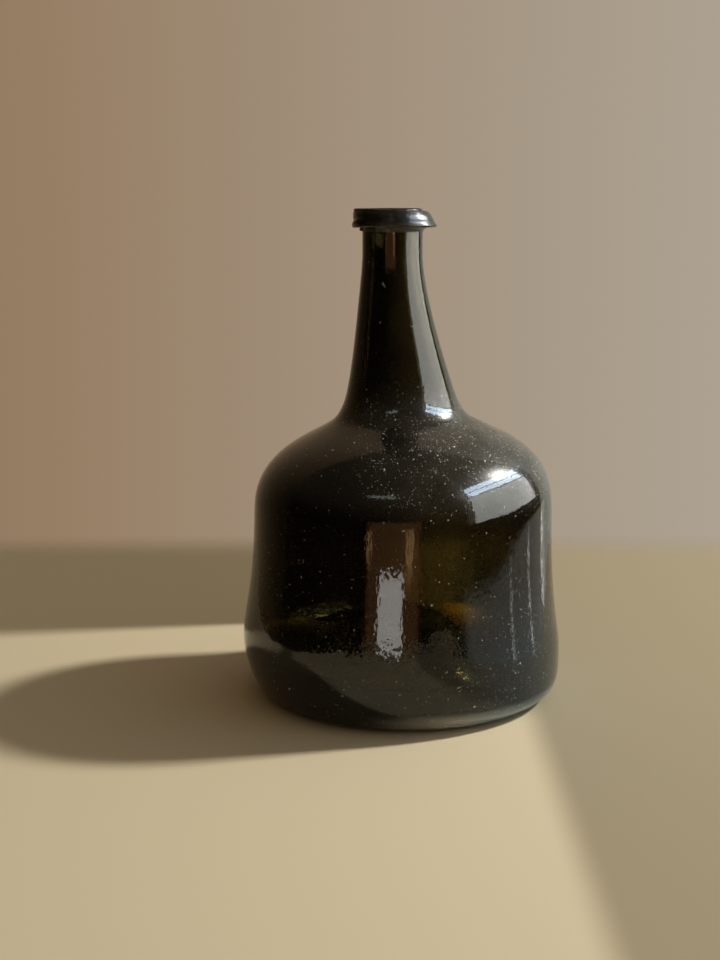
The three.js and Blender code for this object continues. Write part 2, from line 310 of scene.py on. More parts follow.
def along_curve(corners, steps, wall=None):
    """Points on a cubic curve, or one wall thickness in from it, without its first point."""
    a, b, c, d = (Vector(corner) for corner in corners)
    points = []
    for i in range(1, steps + 1):
        go = i / steps
        stay = 1 - go
        at = a * stay ** 3 + b * 3 * stay ** 2 * go + c * 3 * stay * go ** 2 + d * go ** 3
        heading = ((b - a) * stay ** 2 + (c - b) * 2 * stay * go + (d - c) * go ** 2).normalized()
        if wall:
            at = at + Vector((-heading.y, heading.x)) * wall(at.y)
        points.append(at)
    return points


def round_points(centre, radius, start, end, steps):
    """Points on an arc in the plane of radius and height, its ends in degrees."""
    turns = [math.radians(start + (end - start) * i / steps) for i in range(steps + 1)]
    return [Vector((centre[0] + radius * math.cos(t), centre[1] + radius * math.sin(t))) for t in turns]


def dome_height(radius, rim_radius, rim_z, crown_z):
    """The height of a dome at a radius from the axis."""
    return rim_z + (crown_z - rim_z) * (1 - (radius / rim_radius) ** KICK_POWER)


def dome_points(rim_radius, rim_z, crown_z, steps):
    """Points up a dome from its rim to just short of its crown, without the rim."""
    radii = [rim_radius + (POLE_RADIUS - rim_radius) * i / steps for i in range(1, steps + 1)]
    return [Vector((radius, dome_height(radius, rim_radius, rim_z, crown_z))) for radius in radii]


def body_section():
    """The section of the glass from the resting ring over the lip to the middle of the inside floor."""
    curves = outer_curves()
    points = [Vector((REST_RADIUS, 0))]
    for name, rings in OUTER_RINGS:
        points += along_curve(curves[name], rings)
    lip_middle = LIP_TOP - LIP_ROUND
    straight = lip_middle - NECK_TOP_HEIGHT
    points += [Vector((NECK_RADIUS, NECK_TOP_HEIGHT + straight * share)) for share in LIP_SHARES_UP]
    points += round_points((NECK_RADIUS - LIP_ROUND, lip_middle), LIP_ROUND, 0, 90, LIP_RINGS)
    points += round_points((BORE_RADIUS + LIP_ROUND, lip_middle), LIP_ROUND, 90, 180, LIP_RINGS)
    points += [Vector((BORE_RADIUS, NECK_TOP_HEIGHT + straight * share)) for share in LIP_SHARES_DOWN]
    for name, rings in INNER_RINGS:
        points += along_curve(curves[name][::-1], rings, lambda height: -wall_at(height))
    points += along_curve(inner_heel_curve(), INNER_HEEL_RINGS)
    crown = KICK_HEIGHT + KICK_WALL
    points += dome_points(RING_INNER - VALLEY_INSET, HEEL_WALL, crown, INNER_DOME_RINGS)
    return points


def underside_section():
    """The section of the underside, from the resting ring in to the middle of the kick-up."""
    ring = [Vector((radius, 0)) for radius in (REST_RADIUS, REST_RADIUS - REST_WIDTH / 2, RING_INNER)]
    return ring + dome_points(RING_INNER, 0, KICK_HEIGHT, KICK_RINGS)


def start_piece(name):
    """Names the primitive just added, and opens it with nothing selected."""
    piece = bpy.context.object
    piece.name = piece.data.name = name
    bpy.ops.object.mode_set(mode="EDIT")
    bpy.ops.mesh.select_all(action="DESELECT")
    return piece


def pick(piece, test, kind="VERT"):
    """Selects the vertices, edges or faces of the open piece whose middle passes a test."""
    bpy.ops.mesh.select_all(action="DESELECT")
    bpy.ops.mesh.select_mode(type=kind)
    bpy.ops.object.mode_set(mode="OBJECT")
    mesh = piece.data
    places = {
        "VERT": [(v, v.co) for v in mesh.vertices],
        "EDGE": [(e, (mesh.vertices[e.vertices[0]].co + mesh.vertices[e.vertices[1]].co) / 2)
                 for e in mesh.edges],
        "FACE": [(f, f.center) for f in mesh.polygons],
    }[kind]
    for part, place in places:
        part.select = bool(test(place))
    bpy.ops.object.mode_set(mode="EDIT")


def draw_ring(radius, centre, tilt, next_radius, next_centre, next_tilt):
    """Draws the selected ring of glass out to a new ring."""
    bpy.ops.mesh.extrude_edges_move(TRANSFORM_OT_translate={"value": next_centre - centre})
    bpy.ops.transform.resize(value=(next_radius / radius,) * 3, center_override=next_centre)
    bpy.ops.transform.rotate(value=math.atan(next_tilt) - math.atan(tilt), orient_axis="Y",
                             center_override=next_centre)


def draw_glass(section, centre=centre_at, tilt=tilt_at):
    """Draws the selected ring of glass along a section, each ring at its own centre and tilt."""
    for here, there in zip(section, section[1:]):
        draw_ring(here.x, centre(here.y), tilt(here.y), there.x, centre(there.y), tilt(there.y))


def close_pole():
    """Closes the selected small ring with a point over its middle."""
    bpy.ops.mesh.extrude_edges_move()
    bpy.ops.mesh.merge(type="CENTER")
    bpy.ops.transform.translate(value=(0, 0, POLE_RISE))


def apply_modifiers(piece):
    """Makes the modifiers of a piece part of its mesh."""
    bpy.ops.object.select_all(action="DESELECT")
    piece.select_set(True)
    bpy.context.view_layer.objects.active = piece
    for modifier in list(piece.modifiers):
        bpy.ops.object.modifier_apply(modifier=modifier.name)


def add_subdivision(piece, levels):
    """Adds a Subdivision Surface modifier."""
    modifier = piece.modifiers.new("Rounding", "SUBSURF")
    modifier.levels = modifier.render_levels = levels


def add_unevenness(piece, name, size, depth):
    """Adds the slow unevenness of hand-worked glass, its hollows as long as size and as deep as depth."""
    texture = bpy.data.textures.new(name, "CLOUDS")
    texture.noise_scale = size
    texture.noise_depth = 1
    modifier = piece.modifiers.new(name, "DISPLACE")
    modifier.texture = texture
    modifier.texture_coords = "LOCAL"
    modifier.strength = depth


def make_body():
    """The body: one gather of glass, drawn ring by ring from the resting ring, over the lip and inside."""
    section = body_section()
    bpy.ops.mesh.primitive_circle_add(vertices=BODY_SIDES, radius=REST_RADIUS, location=centre_at(0))
    piece = start_piece("glass_body")
    bpy.ops.mesh.select_all(action="SELECT")
    draw_glass(section)
    close_pole()
    bpy.ops.mesh.select_all(action="DESELECT")
    bpy.ops.mesh.select_mode(type="EDGE")
    bpy.ops.mesh.select_non_manifold()
    draw_glass(underside_section())
    close_pole()
    bpy.ops.mesh.select_all(action="SELECT")
    bpy.ops.mesh.normals_make_consistent(inside=False)
    bpy.ops.object.mode_set(mode="OBJECT")
    add_subdivision(piece, 1)
    add_unevenness(piece, "Gathering", *GATHERING)
    add_unevenness(piece, "Blowing", *BLOWING)
    apply_modifiers(piece)
    bpy.ops.object.mode_set(mode="EDIT")
    pick(piece, lambda place: place.z < RING_GROUND)
    bpy.ops.transform.resize(value=(1, 1, 0), center_override=(0, 0, CLEARANCE))
    bpy.ops.object.mode_set(mode="OBJECT")
    bpy.ops.object.shade_smooth()
    return piece


def rim_section():
    """The section of the trail: its seat, a bead below, a hollow over it, a face and a round top."""
    bead = (RIM_SKIRT_RADIUS - RIM_BEAD, RIM_FOOT + RIM_BEAD)
    top = (RIM_TOP_RADIUS, RIM_TOP - RIM_TOP_ROUND)
    return ([Vector((radius, RIM_FOOT + climb)) for radius, climb in RIM_UNDER]
            + round_points(bead, RIM_BEAD, -90, 45, BEAD_RINGS)
            + [Vector((radius, RIM_FOOT + climb)) for radius, climb in RIM_FACE]
            + round_points(top, RIM_TOP_ROUND, 15, 90, BEAD_RINGS)
            + [Vector((RIM_SEAT, RIM_TOP - RIM_SEAT_DROP))])


def rim_climb(height):
    """How far up the trail a height is, from 0 at its foot to 1 at its top."""
    return (height - RIM_FOOT) / RIM_TALL


def rim_centre(height):
    """The middle of the trail at a height. Its foot is pushed to the right, and its top to the left."""
    climb = max(rim_climb(height), 0)
    pushed = smooth_step(height, RIM_FOOT - RIM_BEAD, RIM_FOOT + RIM_BEAD)
    swing = RIM_SKIRT_SWING * (1 - climb) * pushed - RIM_TOP_SWING * climb
    return Vector((MOUTH_SWAY + swing, sway_back_at(height), height))


def rim_tilt(height):
    """The slope of the trail along X: its foot hangs lower at the left, and its top is level."""
    return RIM_TALL_SWING / RIM_SKIRT_RADIUS * (1 - rim_climb(height))


def close_loop():
    """Bridges the two open rings of a piece."""
    bpy.ops.mesh.select_all(action="DESELECT")
    bpy.ops.mesh.select_mode(type="EDGE")
    bpy.ops.mesh.select_non_manifold()
    bpy.ops.mesh.bridge_edge_loops()
    bpy.ops.mesh.select_all(action="SELECT")
    bpy.ops.mesh.normals_make_consistent(inside=False)
    bpy.ops.object.mode_set(mode="OBJECT")


def make_trail():
    """The trail itself, once round the neck."""
    section = rim_section()
    bpy.ops.object.select_all(action="DESELECT")
    bpy.ops.mesh.primitive_circle_add(vertices=RIM_SIDES, radius=RIM_SEAT,
                                      location=rim_centre(section[0].y))
    piece = start_piece("trail")
    bpy.ops.mesh.select_all(action="SELECT")
    draw_glass(section, rim_centre, rim_tilt)
    close_loop()
    return piece


def tongue_station(share):
    """The tongue's angle, radius, height, thickness and tallness, from its tip at 0 to its end at 1."""
    grow = smooth_step(share, 0, TONGUE_GROWN)
    sink = smooth_step(share, TONGUE_SINKS, 1)
    tall = TONGUE_TIP_TALL + (TONGUE_END_TALL - TONGUE_TIP_TALL) * share
    thick = (TONGUE_THICK * (TONGUE_TIP_THICK + (1 - TONGUE_TIP_THICK) * grow)
             * (1 - TONGUE_END_LOSS * sink))
    radius = RIM_SKIRT_RADIUS + TONGUE_PROUD - TONGUE_SINK * sink - thick
    foot = RIM_FOOT - RIM_TALL_SWING * (1 - share) - TONGUE_HANG
    angle = TONGUE_FROM + (TONGUE_TO - TONGUE_FROM) * share
    return angle, radius, foot + tall, thick, tall


def tongue_place(angle, radius, height):
    """The middle of the tongue's section."""
    centre = rim_centre(height)
    return Vector((centre.x + radius * math.cos(angle), centre.y + radius * math.sin(angle), height))


def make_tongue():
    """The lapped end of the trail: a tongue drawn from its low tip until it sinks into the face."""
    angle, radius, height, thick, tall = tongue_station(0)
    here = tongue_place(angle, radius, height)
    bpy.ops.object.select_all(action="DESELECT")
    bpy.ops.mesh.primitive_circle_add(vertices=TONGUE_SIDES, radius=thick, fill_type="NGON",
                                      location=here, rotation=(math.pi / 2, 0, angle))
    piece = start_piece("tongue")
    bpy.ops.mesh.select_all(action="SELECT")
    bpy.ops.transform.resize(value=(1, 1, tall / thick), center_override=here)
    for i in range(1, TONGUE_STEPS + 1):
        next_angle, radius, height, next_thick, next_tall = tongue_station(i / TONGUE_STEPS)
        there = tongue_place(next_angle, radius, height)
        wider, taller = next_thick / thick, next_tall / tall
        bpy.ops.mesh.extrude_region_move(TRANSFORM_OT_translate={"value": there - here})
        bpy.ops.transform.rotate(value=angle - next_angle, orient_axis="Z", center_override=there)
        bpy.ops.transform.resize(value=(wider, wider, taller), center_override=there)
        angle, thick, tall, here = next_angle, next_thick, next_tall, there
    bpy.ops.mesh.select_all(action="SELECT")
    bpy.ops.mesh.normals_make_consistent(inside=False)
    bpy.ops.object.mode_set(mode="OBJECT")
    return piece


def make_drop(name, turn, radius, height, size):
    """A small drop of glass left on the trail."""
    centre = rim_centre(height)
    angle = math.radians(turn)
    place = (centre.x + radius * math.cos(angle), centre.y + radius * math.sin(angle), height)
    bpy.ops.object.select_all(action="DESELECT")
    bpy.ops.mesh.primitive_uv_sphere_add(segments=24, ring_count=16, radius=1, location=place, scale=size)
    piece = bpy.context.object
    piece.name = name
    return piece


def join_pieces(pieces):
    """Makes one object of several, in the first one's name."""
    bpy.ops.object.select_all(action="DESELECT")
    for piece in pieces:
        piece.select_set(True)
    bpy.context.view_layer.objects.active = pieces[0]
    bpy.ops.object.join()
    bpy.ops.object.transform_apply(location=True, rotation=True, scale=True)
    return pieces[0]


def melt(piece):
    """Melts joined pieces into one skin, as hot glass does, and fire polishes it."""
    skin = piece.modifiers.new("Melting", "REMESH")
    skin.mode = "VOXEL"
    skin.voxel_size = RIM_GRAIN
    polish = piece.modifiers.new("Polishing", "SMOOTH")
    polish.factor = 0.5
    polish.iterations = RIM_POLISH


def make_rim():
    """The string rim: the trail, its lapped tongue, a drip below it and two drops on top."""
    drops = [make_drop(name, *place) for name, place in RIM_DROPS.items()]
    piece = join_pieces([make_trail(), make_tongue(), *drops])
    piece.name = piece.data.name = "glass_trail"
    melt(piece)
    add_unevenness(piece, "Tooling", *TOOLING)
    add_unevenness(piece, "Chill", *CHILL)
    apply_modifiers(piece)
    bpy.ops.object.shade_smooth()
    return piece


def scar_section():
    """The section of the scar, sunk a little into the underside of the kick-up."""
    points = []
    for out, depth in SCAR_FORM:
        radius = SCAR_RADIUS + out * SCAR_WIDTH / 2
        drop = SCAR_SINK if depth < 0 else -depth * SCAR_DEPTH
        points.append(Vector((radius, dome_height(radius, RING_INNER, 0, KICK_HEIGHT) + drop)))
    return points


def make_scar():
    """The pontil scar: the ring of glass that stayed behind when the pontil rod was cracked off."""
    section = scar_section()
    bpy.ops.object.select_all(action="DESELECT")
    bpy.ops.mesh.primitive_circle_add(vertices=SCAR_SIDES, radius=section[0].x,
                                      location=centre_at(section[0].y))
    piece = start_piece("pontil_ring")
    bpy.ops.mesh.select_all(action="SELECT")
    draw_glass(section)
    close_loop()
    add_subdivision(piece, 2)
    texture = bpy.data.textures.new("Snapped", "VORONOI")
    texture.noise_scale = CHIP_SPACING
    snap = piece.modifiers.new("Snapped", "DISPLACE")
    snap.texture = texture
    snap.texture_coords = "LOCAL"
    snap.strength = CHIP_DEPTH
    snap.mid_level = CHIP_CUT
    apply_modifiers(piece)
    bpy.ops.object.shade_smooth_by_angle(angle=CHIP_CREASE)
    return piece


def srgb(code):
    """A hex colour as linear light."""
    parts = [int(code[i:i + 2], 16) / 255 for i in (0, 2, 4)]
    linear = [part / 12.92 if part <= 0.04045 else ((part + 0.055) / 1.055) ** 2.4 for part in parts]
    return (*linear, 1)


def add_node(tree, kind, settings=None, inputs=None):
    """Adds a node, makes its settings, and fills its inputs with values or links."""
    node = tree.nodes.new(kind)
    for name, value in (settings or {}).items():
        setattr(node, name, value)
    for name, value in (inputs or {}).items():
        if isinstance(value, bpy.types.NodeSocket):
            tree.links.new(value, node.inputs[name])
        else:
            node.inputs[name].default_value = value
    return node


def new_material(name):
    """An empty node material."""
    material = bpy.data.materials.new(name)
    material.use_nodes = True
    material.node_tree.nodes.clear()
    return material


# Colour that the glass takes from light, per metre of path. Iron leaves olive and brown light the longest.
GLASS_TAKES = (290, 315, 430)
GLASS_TAKES_MOST = 1000
GLASS_IOR = 1.55
# Pale dust, and the bluer haze of worn glass. Its blue is partly a painted reflection of cool light.
DUST_COLOUR = "f2efe2"
WORN_AND_PAINTED_BLUE = "a2c6e0"


def finish_glass(tree, surface):
    """Gives a glass material its surface, and the dark olive of the glass itself."""
    colour = [1 - taken / GLASS_TAKES_MOST for taken in GLASS_TAKES]
    olive = add_node(tree, "ShaderNodeVolumeAbsorption", None,
                     {"Color": (*colour, 1), "Density": GLASS_TAKES_MOST})
    add_node(tree, "ShaderNodeOutputMaterial", None,
             {"Surface": surface.outputs["BSDF"], "Volume": olive.outputs["Volume"]})


def fade_between(tree, value, start, end, low=0.0, high=1.0):
    """Goes smoothly from low to high as a value goes from start to end."""
    return add_node(tree, "ShaderNodeMapRange", {"interpolation_type": "SMOOTHSTEP"}, {
        "Value": value, "From Min": start, "From Max": end, "To Min": low, "To Max": high,
    }).outputs["Result"]


def combine(tree, operation, *values):
    """Works out sums, products or the largest of several values, two at a time."""
    result = values[0]
    for value in values[1:]:
        step = add_node(tree, "ShaderNodeMath", {"operation": operation}, {0: result, 1: value})
        result = step.outputs[0]
    return result


def wavy_skin(tree, place, waves, detail, under=None):
    """The normal of a skin with waves of a length and a depth, over that of a skin under them."""
    length, depth = waves
    noise = add_node(tree, "ShaderNodeTexNoise", None,
                     {"Vector": place, "Scale": 1 / length, "Detail": detail})
    inputs = {"Height": noise.outputs["Fac"], "Distance": depth, "Strength": 1}
    if under is not None:
        inputs["Normal"] = under
    return add_node(tree, "ShaderNodeBump", None, inputs).outputs["Normal"]


# Specks of grit: the smallest and the largest over their usual radius, and how few of them are bright
GRIT_SMALLEST = 0.4
GRIT_LARGEST = 1.15
GRIT_DULLNESS = 1.2


def scattered(tree, place, spacing, radius, share):
    """Grit: a share of randomly placed points, each with its own size and brightness."""
    cells = add_node(tree, "ShaderNodeTexVoronoi", None, {"Vector": place, "Scale": 1 / spacing})
    chance = add_node(tree, "ShaderNodeSeparateColor", None, {"Color": cells.outputs["Color"]})
    kept = combine(tree, "LESS_THAN", chance.outputs["Red"], share)
    reach = add_node(tree, "ShaderNodeMapRange", None, {
        "Value": chance.outputs["Green"],
        "To Min": GRIT_SMALLEST * radius / spacing, "To Max": GRIT_LARGEST * radius / spacing,
    }).outputs["Result"]
    inside = combine(tree, "LESS_THAN", cells.outputs["Distance"], reach)
    bright = combine(tree, "POWER", chance.outputs["Blue"], GRIT_DULLNESS)
    return combine(tree, "MULTIPLY", kept, inside, bright)


# Grit on the blown glass: the space between its points, and their radius
FINE_GRIT = (0.75 * MM, 0.2 * MM)
MIDDLE_GRIT = (1.6 * MM, 0.28 * MM)
COARSE_GRIT = (4.2 * MM, 0.46 * MM)
# How much of it there is for each share of dust and of wear, and how much of the coarse kind
GRIT_OF_DUST = 0.75
GRIT_OF_WEAR = 0.34
GRIT_COARSE = 0.6
# Scratches: their spacing and half width, how much longer than wide, and the turn and share of two sets
SCRATCHES = (1.3 * MM, 0.16 * MM)
SCRATCH_LENGTH = 9
LEVEL_SCRATCHES = ((0, math.radians(-18), math.radians(12)), 0.03)
STEEP_SCRATCHES = ((0, math.radians(62), math.radians(-20)), 0.02)


def scratched(tree, place, turn, share):
    """Short scratches: grit drawn out along one direction."""
    along = add_node(tree, "ShaderNodeMapping", {"vector_type": "TEXTURE"}, {
        "Vector": place, "Rotation": turn, "Scale": (SCRATCH_LENGTH, 1, 1),
    })
    return scattered(tree, along.outputs["Vector"], *SCRATCHES, share)


# Where dust and wear lie on the blown glass. Each fades in from its first height or X to its second. The
# wear on the right of the side also carries a painted blue reflection, and that on the right of the foot a
# painted highlight.
SHOULDER_DUSTY = (81 * MM, 95 * MM)
NECK_CLEAN = (134 * MM, 116 * MM)
RIGHT_DUSTY = (-34 * MM, 12 * MM)
SIDE_WORN_AND_BLUE = (62 * MM, 20 * MM)
RIGHT_WORN_AND_BLUE = (8 * MM, 46 * MM)
FOOT_WORN_AND_LIT = (10 * MM, 5 * MM)
FOOT_LIT_RIGHT = (-22 * MM, 25 * MM)
# Stray grit all over: between these heights it goes from the first share, below, to the second, on the neck
STRAY_GRIT = (110 * MM, 135 * MM, 0.05, 0.012)
# Patches and clumps of dust: how wide they are, and the noise and the strength that they go from and to
PATCH_WIDTH = 16 * MM
PATCHES = (0.3, 0.62, 0.35, 1)
CLUMP_WIDTH = 5 * MM
CLUMPS = (0.36, 0.66, 0.25, 1.6)
# How far and how finely jitter frays the specks
FRAYING = 0.5 * MM
FRAYING_GRAIN = 0.7 * MM
# Film on the glass: how much lies everywhere, and how much more with dust, side wear (partly a painted blue
# reflection) and foot wear (partly a painted highlight)
FILM = 0.001
FILM_OF_DUST = 0.016
FILM_OF_WEAR_AND_BLUE = 0.03
FILM_OF_FOOT_WEAR_AND_GLINT = 0.34
# The sheen of the dust: its strength and its roughness
DUST_SHEEN = 0.6
DUST_SHEEN_ROUGHNESS = 0.26
# Waves of the skin: how long and how deep, and how much taller than wide the finer ones are
SWELL = (6 * MM, 0.006 * MM)
PEEL = (1.2 * MM, 0.032 * MM)
PEEL_TALL = 2.5


def dust_wear_and_painted_light(tree, place):
    """The height of a place, and how much of it is dusty, worn on the side with a painted blue reflection,
    and worn on the foot with a painted highlight.
    """
    axes = add_node(tree, "ShaderNodeSeparateXYZ", None, {"Vector": place})
    x, z = axes.outputs["X"], axes.outputs["Z"]
    patchy = add_node(tree, "ShaderNodeTexNoise", None,
                      {"Vector": place, "Scale": 1 / PATCH_WIDTH, "Detail": 2})
    dusty = combine(tree, "MULTIPLY",
                    fade_between(tree, z, *SHOULDER_DUSTY), fade_between(tree, z, *NECK_CLEAN),
                    fade_between(tree, x, *RIGHT_DUSTY),
                    fade_between(tree, patchy.outputs["Fac"], *PATCHES))
    # Side wear, tinted blue: partly a painted reflection of cool light, kept to the right
    side_wear_and_painted_blue = combine(tree, "MULTIPLY",
                        fade_between(tree, z, *SIDE_WORN_AND_BLUE), fade_between(tree, x, *RIGHT_WORN_AND_BLUE))
    # Foot wear: partly a painted highlight along the right of the heel, where lit floor shows
    foot_wear_and_painted_glint = combine(tree, "MULTIPLY",
                        fade_between(tree, z, *FOOT_WORN_AND_LIT), fade_between(tree, x, *FOOT_LIT_RIGHT))
    return z, dusty, side_wear_and_painted_blue, foot_wear_and_painted_glint


def specks(tree, place, height, dusty, side_wear_and_painted_blue):
    """Specks of grit and short scratches. They lie closest where the glass is dusty or worn, in clumps."""
    jitter = add_node(tree, "ShaderNodeTexNoise", None,
                      {"Vector": place, "Scale": 1 / FRAYING_GRAIN, "Detail": 1})
    ragged = add_node(tree, "ShaderNodeVectorMath", {"operation": "MULTIPLY_ADD"}, {
        0: jitter.outputs["Color"], 1: (FRAYING,) * 3, 2: place,
    }).outputs[0]
    clumps = add_node(tree, "ShaderNodeTexNoise", None,
                      {"Vector": place, "Scale": 1 / CLUMP_WIDTH, "Detail": 2})
    clumped = fade_between(tree, clumps.outputs["Fac"], *CLUMPS)
    dirt = combine(tree, "ADD",
                   fade_between(tree, height, *STRAY_GRIT),
                   combine(tree, "MULTIPLY", dusty, GRIT_OF_DUST),
                   combine(tree, "MULTIPLY", side_wear_and_painted_blue, GRIT_OF_WEAR))
    fine_share = combine(tree, "MULTIPLY", dirt, clumped)
    coarse_share = combine(tree, "MULTIPLY", dirt, GRIT_COARSE)
    return combine(tree, "MAXIMUM",
                   scattered(tree, ragged, *FINE_GRIT, fine_share),
                   scattered(tree, ragged, *MIDDLE_GRIT, fine_share),
                   scattered(tree, ragged, *COARSE_GRIT, coarse_share),
                   scratched(tree, ragged, *LEVEL_SCRATCHES),
                   scratched(tree, ragged, *STEEP_SCRATCHES))


def blown_glass():
    """Free-blown bottle glass, dark with iron and fire polished.

    It shows soft-edged reflections that wander a little, olive light where it is thin or lit from behind,
    and pale dust and wear caught on the shoulder and the right of the foot. The pale band on the right of
    the foot is partly a painted highlight, and the blue haze low on the right partly a painted reflection.
    """
    material = new_material("blown_olive_glass")
    tree = material.node_tree
    place = add_node(tree, "ShaderNodeTexCoord").outputs["Object"]
    height, dusty, side_wear_and_painted_blue, foot_wear_and_painted_glint = dust_wear_and_painted_light(tree, place)
    film = combine(tree, "ADD", FILM,
                   combine(tree, "MULTIPLY", dusty, FILM_OF_DUST),
                   combine(tree, "MULTIPLY", side_wear_and_painted_blue, FILM_OF_WEAR_AND_BLUE),
                   combine(tree, "MULTIPLY", foot_wear_and_painted_glint, FILM_OF_FOOT_WEAR_AND_GLINT))
    cover = combine(tree, "ADD", specks(tree, place, height, dusty, side_wear_and_painted_blue), film)
    upright = add_node(tree, "ShaderNodeMapping", {"vector_type": "TEXTURE"},
                       {"Vector": place, "Scale": (1, 1, PEEL_TALL)})
    swell = wavy_skin(tree, place, SWELL, 1)
    # The film is dust-pale, and blue where the side wear carries its painted reflection
    colour = add_node(tree, "ShaderNodeMix", {"data_type": "RGBA"}, {
        "Factor": side_wear_and_painted_blue, 6: srgb(DUST_COLOUR), 7: srgb(WORN_AND_PAINTED_BLUE),
    })
    surface = add_node(tree, "ShaderNodeBsdfPrincipled", None, {
        "Base Color": colour.outputs[2], "IOR": GLASS_IOR, "Roughness": 0.03,
        "Transmission Weight": combine(tree, "SUBTRACT", 1, combine(tree, "MINIMUM", cover, 1)),
        "Coat Weight": combine(tree, "MULTIPLY", dusty, DUST_SHEEN), "Coat Roughness": DUST_SHEEN_ROUGHNESS,
        "Normal": wavy_skin(tree, upright.outputs["Vector"], PEEL, 1, swell),
    })
    finish_glass(tree, surface)
    return material


# Skin of the trail: lines from the tool, how far apart, how deep, and how much longer than wide
TOOL_LINES = (0.9 * MM, 0.14 * MM)
TOOL_LINE_LENGTH = 7
# Its pits, how wide and how deep, and its grit: the space between its points, their radius and share
TRAIL_PITS = (0.8 * MM, 0.12 * MM)
TRAIL_GRIT = (1.7 * MM, 0.2 * MM, 0.3)
# How clear its glass is between the grit
TRAIL_CLEAR = 0.996


def trailed_glass():
    """The same glass, laid on as a trail and tooled. It has faint lines round the neck and a dull skin."""
    material = new_material("trailed_olive_glass")
    tree = material.node_tree
    place = add_node(tree, "ShaderNodeTexCoord").outputs["Object"]
    lines = add_node(tree, "ShaderNodeMapping", {"vector_type": "TEXTURE"},
                     {"Vector": place, "Scale": (TOOL_LINE_LENGTH, TOOL_LINE_LENGTH, 1)})
    tooled = wavy_skin(tree, lines.outputs["Vector"], TOOL_LINES, 2)
    grit = scattered(tree, place, *TRAIL_GRIT)
    surface = add_node(tree, "ShaderNodeBsdfPrincipled", None, {
        "Base Color": srgb(DUST_COLOUR), "IOR": GLASS_IOR, "Roughness": 0.27,
        "Transmission Weight": combine(tree, "SUBTRACT", TRAIL_CLEAR, grit),
        "Normal": wavy_skin(tree, place, TRAIL_PITS, 2, tooled),
    })
    finish_glass(tree, surface)
    return material


# The break: its shell-like facets and the ripples in them, how wide and how deep
BREAK_FACETS = (1.6 * MM, 0.5 * MM)
BREAK_RIPPLES = (0.5 * MM, 0.08 * MM)
# Its whitened green, and how clear it is from the middle of a facet out to its ridge
BREAK_COLOUR = "b9b48f"
BREAK_CLEAR = (0.35, 0.75, 0.94, 0.55)


def snapped_glass():
    """Cracked-off glass: shell-like facets with sharp ridges, whitened by the break."""
    material = new_material("snapped_olive_glass")
    tree = material.node_tree
    place = add_node(tree, "ShaderNodeTexCoord").outputs["Object"]
    width, depth = BREAK_FACETS
    facets = add_node(tree, "ShaderNodeTexVoronoi", {"feature": "SMOOTH_F1"},
                      {"Vector": place, "Scale": 1 / width})
    ridges = add_node(tree, "ShaderNodeBump", None, {
        "Height": facets.outputs["Distance"], "Distance": depth, "Strength": 1,
    })
    surface = add_node(tree, "ShaderNodeBsdfPrincipled", None, {
        "Base Color": srgb(BREAK_COLOUR), "IOR": GLASS_IOR, "Roughness": 0.32,
        "Transmission Weight": fade_between(tree, facets.outputs["Distance"], *BREAK_CLEAR),
        "Normal": wavy_skin(tree, place, BREAK_RIPPLES, 3, ridges.outputs["Normal"]),
    })
    finish_glass(tree, surface)
    return material


def dress(piece, material, node):
    """Gives a finished piece its material and its place in the frame."""
    piece.data.materials.clear()
    piece.data.materials.append(material)
    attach(piece, "root")
    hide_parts(node)


# The camera, fitted to the photographed outline
CAMERA_PLACE = (-17.3 * MM, -589.3 * MM, 197.2 * MM)
CAMERA_DOWN = math.radians(10.4)
CAMERA_LENS = 54.15

bpy.ops.object.camera_add(location=CAMERA_PLACE, rotation=(math.pi / 2 - CAMERA_DOWN, 0, 0))
bpy.context.object.data.lens = CAMERA_LENS
bpy.context.scene.camera = bpy.context.object

# A sheet of pale paper, which fades out fast at its front and sides and slowly at its back
FLOOR_LEFT = -254 * MM
FLOOR_RIGHT = 195 * MM
FLOOR_FRONT = -357 * MM
FLOOR_BACK = 300 * MM
FLOOR_FADE = 8 * MM
FLOOR_SWEEP = 70 * MM
# How far its right edge runs out for each length that it goes to the back
FLOOR_SPREAD = 0.25
# Its front left corner is cut off: the slant of the cut, and how far the cut is from the middle
FLOOR_CUT_SLANT = math.radians(48)
FLOOR_CUT = -346 * MM
FLOOR_COLOUR = "d2c3a4"


def floor_material():
    """Matt warm paper, thinned to nothing at its edges."""
    material = new_material("matt_pale_paper")
    tree = material.node_tree
    place = add_node(tree, "ShaderNodeTexCoord").outputs["Object"]
    axes = add_node(tree, "ShaderNodeSeparateXYZ", None, {"Vector": place})
    x, y = axes.outputs["X"], axes.outputs["Y"]
    spread = combine(tree, "MULTIPLY", combine(tree, "MAXIMUM", y, 0), FLOOR_SPREAD)
    right = combine(tree, "SUBTRACT", x, spread)
    corner = combine(tree, "ADD",
                     combine(tree, "MULTIPLY", x, math.cos(FLOOR_CUT_SLANT)),
                     combine(tree, "MULTIPLY", y, math.sin(FLOOR_CUT_SLANT)))
    alpha = combine(tree, "MULTIPLY",
                    fade_between(tree, corner, FLOOR_CUT, FLOOR_CUT + FLOOR_FADE),
                    fade_between(tree, x, FLOOR_LEFT, FLOOR_LEFT + FLOOR_FADE),
                    fade_between(tree, right, FLOOR_RIGHT, FLOOR_RIGHT - FLOOR_FADE),
                    fade_between(tree, y, FLOOR_FRONT, FLOOR_FRONT + FLOOR_FADE),
                    fade_between(tree, y, FLOOR_BACK, FLOOR_BACK - FLOOR_SWEEP))
    surface = add_node(tree, "ShaderNodeBsdfPrincipled", None, {
        "Base Color": srgb(FLOOR_COLOUR), "Roughness": 0.8, "Alpha": alpha,
    })
    add_node(tree, "ShaderNodeOutputMaterial", None, {"Surface": surface.outputs["BSDF"]})
    return material


